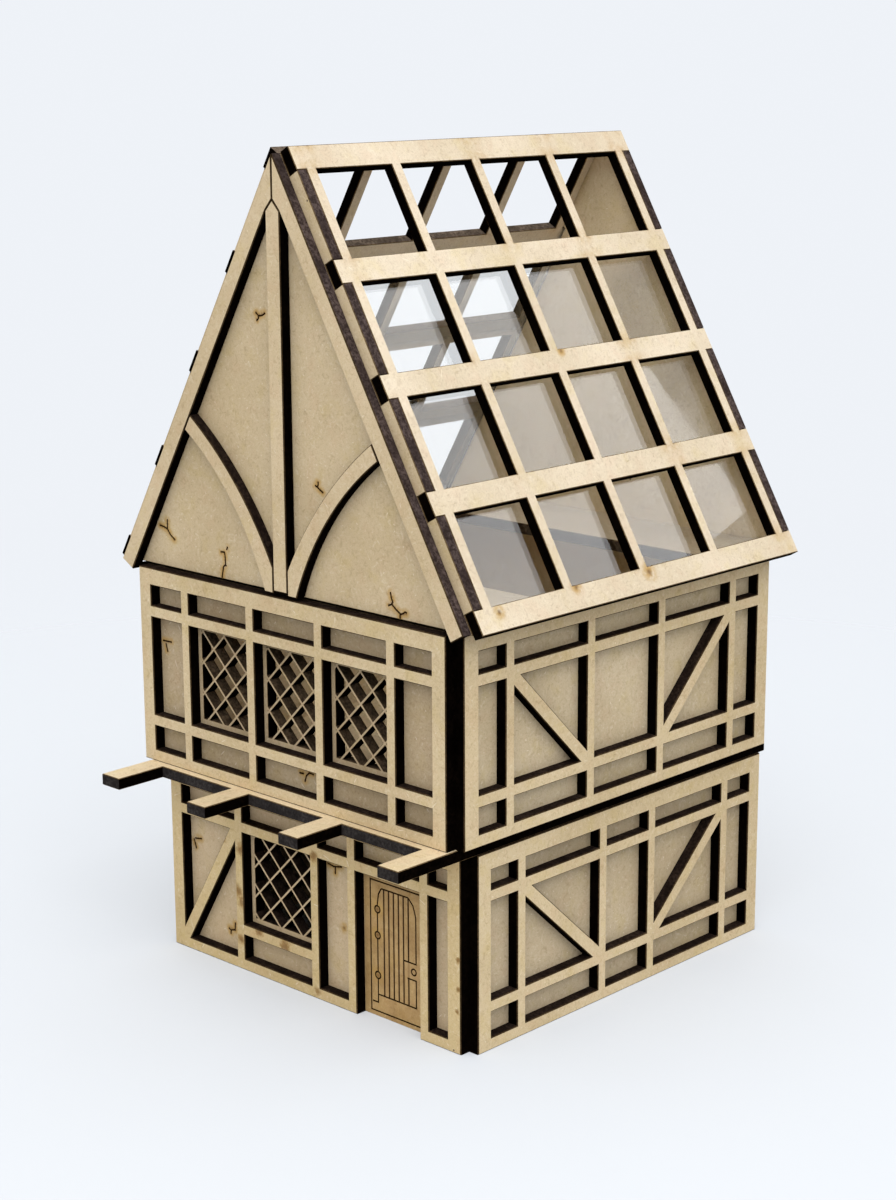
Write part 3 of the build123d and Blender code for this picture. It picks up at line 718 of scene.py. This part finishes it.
def makeFloor():
    mesh = bpy.data.meshes.new("studio_floor")
    half = studio["floorSize"] / 2
    corners = [(-half, -half, 0), (half, -half, 0), (half, half, 0), (-half, half, 0)]
    mesh.from_pydata(corners, [], [(0, 1, 2, 3)])
    floor = bpy.data.objects.new("studio_floor", mesh)
    bpy.context.scene.collection.objects.link(floor)
    material, tree, bsdf, place = startMaterial("paleFloor")
    bsdf.inputs["Base Color"].default_value = studio["floorTone"]
    grain = shaderNoise(tree, place, studio["floorGrain"])
    dull = shaderRange(tree, grain, *studio["floorGrainRange"], *studio["floorRough"])
    tree.links.new(dull, bsdf.inputs["Roughness"])
    away = shaderVector(tree, "LENGTH", place, (0.0, 0.0, 0.0))
    fade = shaderRange(tree, away, studio["floorFadeFrom"], studio["floorFadeTo"], studio["floorClear"], 1.0)
    # solid under the house, so that the rooms stay dark
    x = shaderMath(tree, "ABSOLUTE", shaderVector(tree, "DOT_PRODUCT", place, (1.0, 0.0, 0.0)))
    y = shaderVector(tree, "DOT_PRODUCT", place, (0.0, 1.0, 0.0))
    y = shaderMath(tree, "ABSOLUTE", shaderMath(tree, "SUBTRACT", y, studio["footMiddle"]))
    pastX = shaderMath(tree, "SUBTRACT", x, studio["footHalf"][0])
    pastY = shaderMath(tree, "SUBTRACT", y, studio["footHalf"][1])
    past = shaderMath(tree, "MAXIMUM", pastX, pastY)
    outside = shaderRange(tree, past, -studio["footSoft"], studio["footSoft"])
    fade = shaderMath(tree, "MULTIPLY", fade, outside)
    clear = tree.nodes.new("ShaderNodeBsdfTransparent")
    both = tree.nodes.new("ShaderNodeMixShader")
    tree.links.new(fade, both.inputs[0])
    tree.links.new(bsdf.outputs[0], both.inputs[1])
    tree.links.new(clear.outputs[0], both.inputs[2])
    tree.links.new(both.outputs[0], tree.nodes["Material Output"].inputs["Surface"])
    mesh.materials.append(material)


def makeRoom():
    world = bpy.data.worlds.new("whiteRoom")
    bpy.context.scene.world = world
    world.use_nodes = True
    tree = world.node_tree
    light = tree.nodes["Background"]
    light.inputs["Color"].default_value = studio["roomTone"]
    heading = tree.nodes.new("ShaderNodeTexCoord").outputs["Generated"]
    up = shaderVector(tree, "DOT_PRODUCT", heading, (0.0, 0.0, 1.0))
    strength = shaderRange(tree, up, 0.0, 1.0, studio["roomLow"], studio["roomHigh"])
    tree.links.new(strength, light.inputs["Strength"])
    shown = tree.nodes.new("ShaderNodeBackground")
    shown.inputs["Color"].default_value = studio["backdrop"]
    path = tree.nodes.new("ShaderNodeLightPath")
    seen = shaderMath(tree, "MAXIMUM", path.outputs["Is Camera Ray"], path.outputs["Is Glossy Ray"])
    seen = shaderMath(tree, "MAXIMUM", seen, path.outputs["Is Transmission Ray"])
    both = tree.nodes.new("ShaderNodeMixShader")
    tree.links.new(seen, both.inputs[0])
    tree.links.new(light.outputs[0], both.inputs[1])
    tree.links.new(shown.outputs[0], both.inputs[2])
    tree.links.new(both.outputs[0], tree.nodes["World Output"].inputs["Surface"])


def makeLamp(name, place, size, power, mirrorOnly):
    lamp = bpy.data.lights.new(name, "AREA")
    lamp.shape = "SQUARE"
    lamp.size = size
    lamp.energy = power
    holder = bpy.data.objects.new(name, lamp)
    holder.location = place
    holder.visible_diffuse = not mirrorOnly
    holder.rotation_euler = (Vector(studio["aim"]) - Vector(place)).to_track_quat("-Z", "Y").to_euler()
    bpy.context.scene.collection.objects.link(holder)


makeFloor()
makeRoom()
for name, lamp in studio["lamps"].items():
    makeLamp(name, **lamp)

# Camera, set where the photograph was taken from
view = {
    "place": (0.40527, -0.42098, 0.23509),
    "target": (0.01093, -0.00825, 0.09800),
    "roll": -0.005,
    "focalPixels": 2319.46,
    "framePixels": 1200,
    "sensor": 36.0,
    "nearest": 0.01,
    "furthest": 50.0,
}


def makeCamera():
    camera = bpy.data.cameras.new("photoCamera")
    camera.sensor_fit = "VERTICAL"
    camera.sensor_height = view["sensor"]
    camera.lens = view["focalPixels"] / view["framePixels"] * view["sensor"]
    camera.clip_start = view["nearest"]
    camera.clip_end = view["furthest"]
    forward = (Vector(view["target"]) - Vector(view["place"])).normalized()
    right = forward.cross(Vector((0, 0, 1))).normalized()
    up = right.cross(forward)
    tilt = view["roll"]
    right, up = right * math.cos(tilt) + up * math.sin(tilt), up * math.cos(tilt) - right * math.sin(tilt)
    turn = Matrix((right, up, -forward)).transposed().to_4x4()
    holder = bpy.data.objects.new("photoCamera", camera)
    holder.matrix_world = Matrix.Translation(view["place"]) @ turn
    bpy.context.scene.collection.objects.link(holder)
    bpy.context.scene.camera = holder


makeCamera()
print("studio, lamps and camera set")
